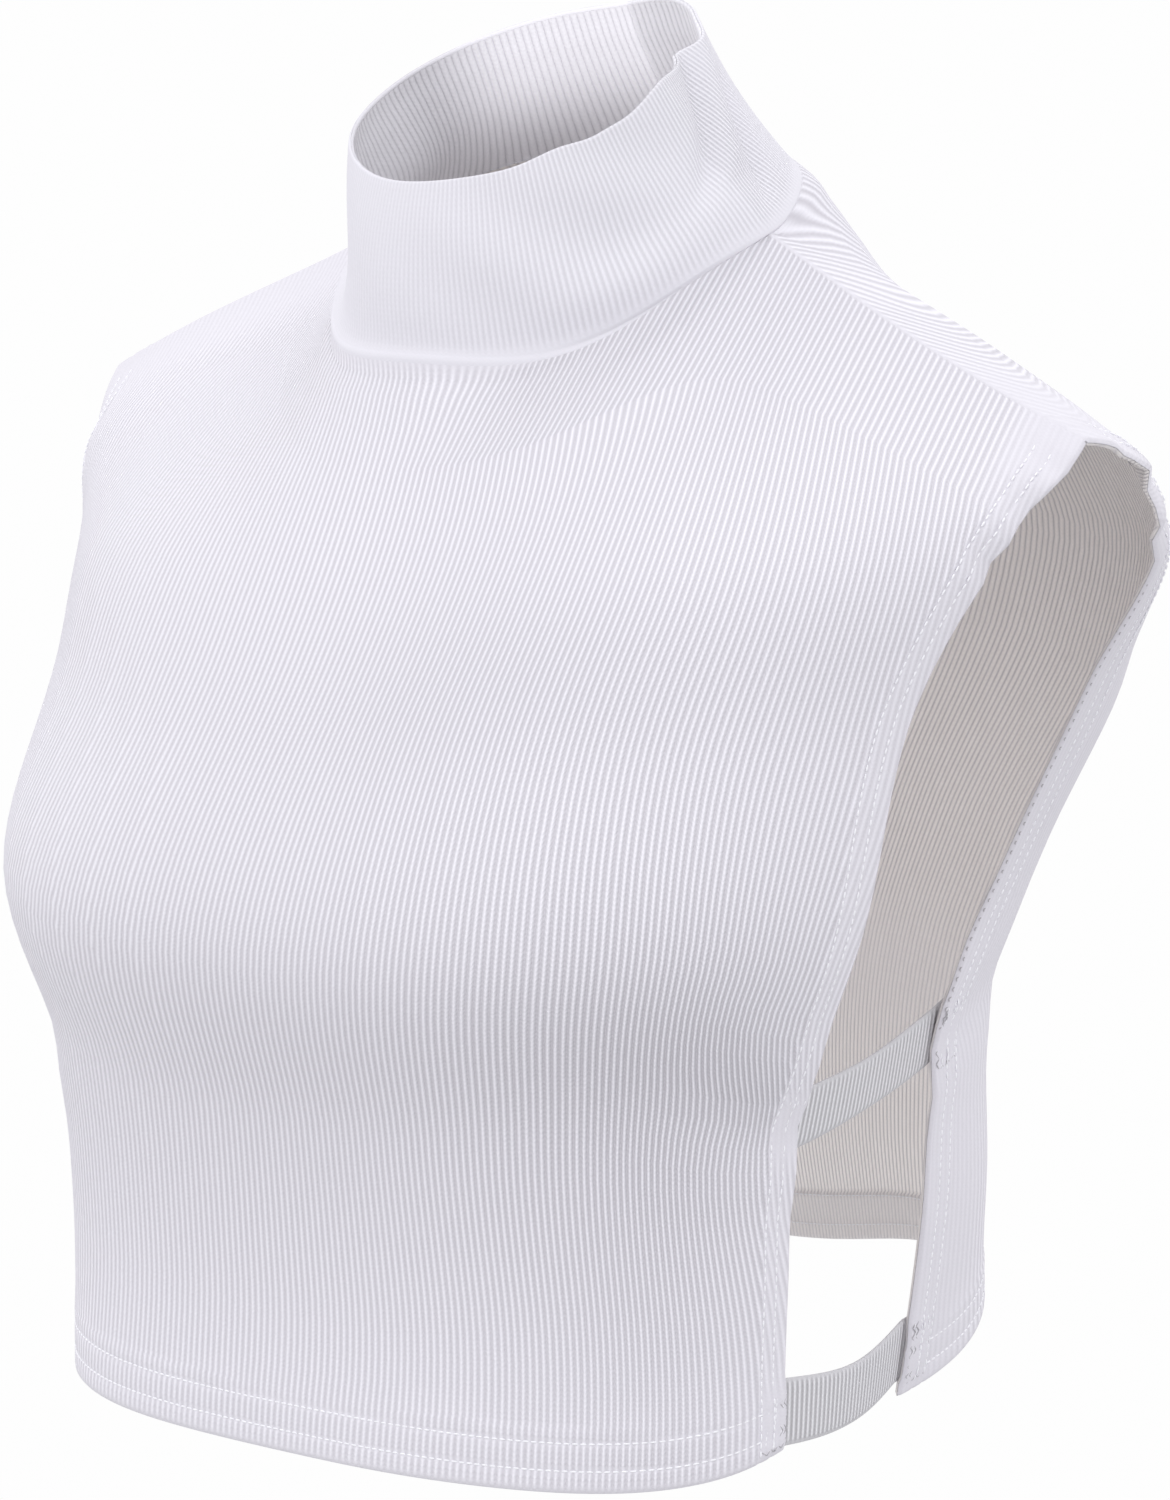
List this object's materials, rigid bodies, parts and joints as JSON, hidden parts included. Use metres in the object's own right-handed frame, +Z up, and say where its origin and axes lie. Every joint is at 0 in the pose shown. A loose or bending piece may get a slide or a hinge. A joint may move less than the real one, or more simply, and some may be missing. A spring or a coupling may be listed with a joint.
{
  "type": "mock neck dickey",
  "caption": "Rib-knit mock-neck dickey: a sleeveless front and back joined at the shoulders, open at the sides, with elastic side straps.",
  "frame": {"origin": "middle of the neck seam, where the collar meets the front and the back and the garment sits on the wearer's neck", "axes": "+Z up through the collar, -Y the way the wearer faces, +X the wearer's left"},
  "size_m": [0.4042, 0.287, 0.4477],
  "materials": {
    "knit": "matt white rib knit",
    "strap_knit": "matt white elastic rib knit"
  },
  "bodies": {
    "root": {"collar": "knit", "front_panel": "knit", "back_panel": "knit", "upper_strap_left": "strap_knit", "upper_strap_right": "strap_knit", "lower_strap_left": "strap_knit", "lower_strap_right": "strap_knit"}
  },
  "joints": []
}
